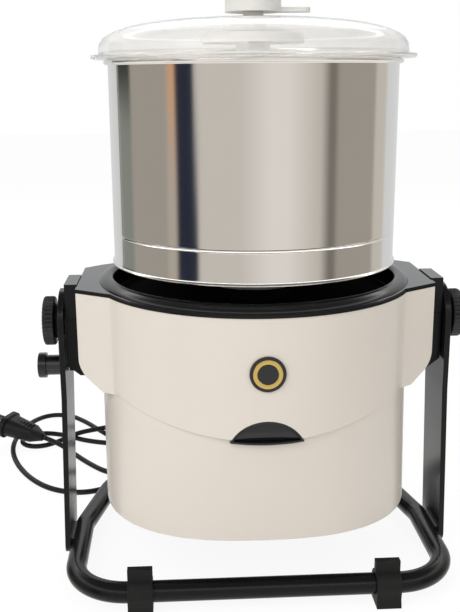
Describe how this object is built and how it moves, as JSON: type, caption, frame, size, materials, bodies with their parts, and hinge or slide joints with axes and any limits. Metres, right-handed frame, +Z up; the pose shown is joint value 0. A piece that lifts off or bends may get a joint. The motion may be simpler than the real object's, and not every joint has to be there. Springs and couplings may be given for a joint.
{
  "type": "tilting wet grinder",
  "caption": "Table-top wet grinder: stainless drum with stone rollers and clear lid on a cream motor housing that tips between the arms of a black tube stand.",
  "frame": {"origin": "on the floor, under the axis of the drum, midway between the sides", "axes": "+Z up along the drum's axis; -Y is the front with the switch; -X is the side of the lock plunger"},
  "size_m": [0.5146, 0.5079, 0.533],
  "materials": {
    "stand_black": "gloss powder coat",
    "foot_black": "moulded, soft sheen",
    "nylon_white": "satin",
    "washer_steel": "zinc plated",
    "plunger_chrome": "bright",
    "knob_black": "moulded, low gloss",
    "bright_steel": "ground",
    "brass": "turned",
    "bracket_black": "gloss",
    "cover_cream": "gloss",
    "switch_black": "gloss",
    "plate_black": "gloss",
    "floor_black": "grained",
    "cast_aluminium": "as cast",
    "lamination_grey": "varnished",
    "belt_rubber": "matt",
    "capacitor_white": "satin",
    "driver_white": "satin",
    "drum_steel": "polished sheet",
    "granite_base": "dressed",
    "granite_roller": "dressed",
    "holder_white": "gloss",
    "lid_clear": "clear moulding",
    "lid_knob_white": "gloss",
    "cord_black": "soft sheen"
  },
  "bodies": {
    "stand": {"base_ring": "stand_black", "left_arm": "stand_black", "right_arm": "stand_black", "front_left_foot": "foot_black", "front_right_foot": "foot_black", "rear_left_foot": "foot_black", "rear_right_foot": "foot_black", "pivot_bushes": "nylon_white", "pivot_washers": "washer_steel", "plunger_barrel": "plunger_chrome", "mains_cord": "cord_black", "plug": "cord_black", "plug_pins": "brass"},
    "head": {"left_pivot_bracket": "bracket_black", "right_pivot_bracket": "bracket_black", "side_frames": "washer_steel", "thread_inserts": "brass", "lock_bush": "bright_steel", "front_cover": "cover_cream", "rear_cover": "cover_cream", "switch_cup": "switch_black", "badge": "switch_black", "top_plate": "plate_black", "bottom_cover": "floor_black", "cover_screws": "bright_steel", "chassis_deck": "washer_steel", "bearing_housing": "cast_aluminium", "spindle_bearings": "bright_steel", "centre_shaft": "bright_steel", "shaft_anchor": "bright_steel", "drive_belt": "belt_rubber", "motor_stator": "lamination_grey", "motor_end_bells": "cast_aluminium", "capacitor": "capacitor_white", "strain_relief": "belt_rubber"},
    "left_knob": {"left_tilt_knob": "knob_black", "left_knob_stud": "bright_steel"},
    "right_knob": {"right_tilt_knob": "knob_black", "right_knob_stud": "bright_steel"},
    "plunger": {"plunger_knob": "knob_black", "plunger_pin": "plunger_chrome"},
    "rocker": {"rocker_switch": "switch_black"},
    "drum": {"spindle": "bright_steel", "driven_pulley": "cast_aluminium", "drum_driver": "driver_white", "drum_hub": "driver_white", "drum_shell": "drum_steel", "base_stone": "granite_base"},
    "rotor": {"motor_rotor": "bright_steel", "motor_fan": "floor_black", "motor_pulley": "cast_aluminium"},
    "roller_set": {"roller_holder": "holder_white", "roller_axles": "bright_steel", "scraper": "holder_white"},
    "left_roller": {"left_roller": "granite_roller"},
    "right_roller": {"right_roller": "granite_roller"},
    "lid": {"lid": "lid_clear"},
    "lid_knob": {"lid_knob": "lid_knob_white"}
  },
  "joints": [
    {"name": "head_tilt", "type": "hinge", "parent": "stand", "child": "head", "pos_m": [0, -0.011, 0.2377], "axis": [1, 0, 0], "range_deg": [0, 90]},
    {"name": "left_knob_turn", "type": "hinge", "parent": "stand", "child": "left_knob", "pos_m": [-0.19, -0.011, 0.2377], "axis": [-1, 0, 0], "range_deg": [0, 270]},
    {"name": "right_knob_turn", "type": "hinge", "parent": "stand", "child": "right_knob", "pos_m": [0.19, -0.011, 0.2377], "axis": [1, 0, 0], "range_deg": [0, 270]},
    {"name": "plunger_slide", "type": "slide", "parent": "stand", "child": "plunger", "axis": [1, 0, 0], "range_m": [0, 0.0047]},
    {"name": "rocker_tip", "type": "hinge", "parent": "head", "child": "rocker", "pos_m": [0, -0.1385, 0.1725], "axis": [1, 0, 0], "range_deg": [-4, 4]},
    {"name": "drum_spin", "type": "hinge", "parent": "head", "child": "drum", "pos_m": [0, 0, 0.3], "axis": [0, 0, 1], "continuous": true},
    {"name": "rotor_spin", "type": "hinge", "parent": "head", "child": "rotor", "pos_m": [0, 0.088, 0.17], "axis": [0, 0, 1], "continuous": true},
    {"name": "roller_lift", "type": "slide", "parent": "head", "child": "roller_set", "axis": [0, 0, 1], "range_m": [0, 0.0015]},
    {"name": "left_roller_spin", "type": "hinge", "parent": "roller_set", "child": "left_roller", "pos_m": [-0.067, 0, 0.3831], "axis": [1, 0, 0], "continuous": true},
    {"name": "right_roller_spin", "type": "hinge", "parent": "roller_set", "child": "right_roller", "pos_m": [0.067, 0, 0.3831], "axis": [1, 0, 0], "continuous": true},
    {"name": "lid_lift", "type": "slide", "parent": "head", "child": "lid", "axis": [0, 0, 1], "range_m": [0, 0.12]},
    {"name": "lid_knob_turn", "type": "hinge", "parent": "lid", "child": "lid_knob", "pos_m": [0, 0, 0.52], "axis": [0, 0, 1], "range_deg": [0, 90]}
  ],
  "couplings": [
    {"joint": "rotor_spin", "follows": "drum_spin", "ratio": 7.0204},
    {"joint": "left_roller_spin", "follows": "drum_spin", "ratio": -1.75},
    {"joint": "right_roller_spin", "follows": "drum_spin", "ratio": 1.75}
  ]
}
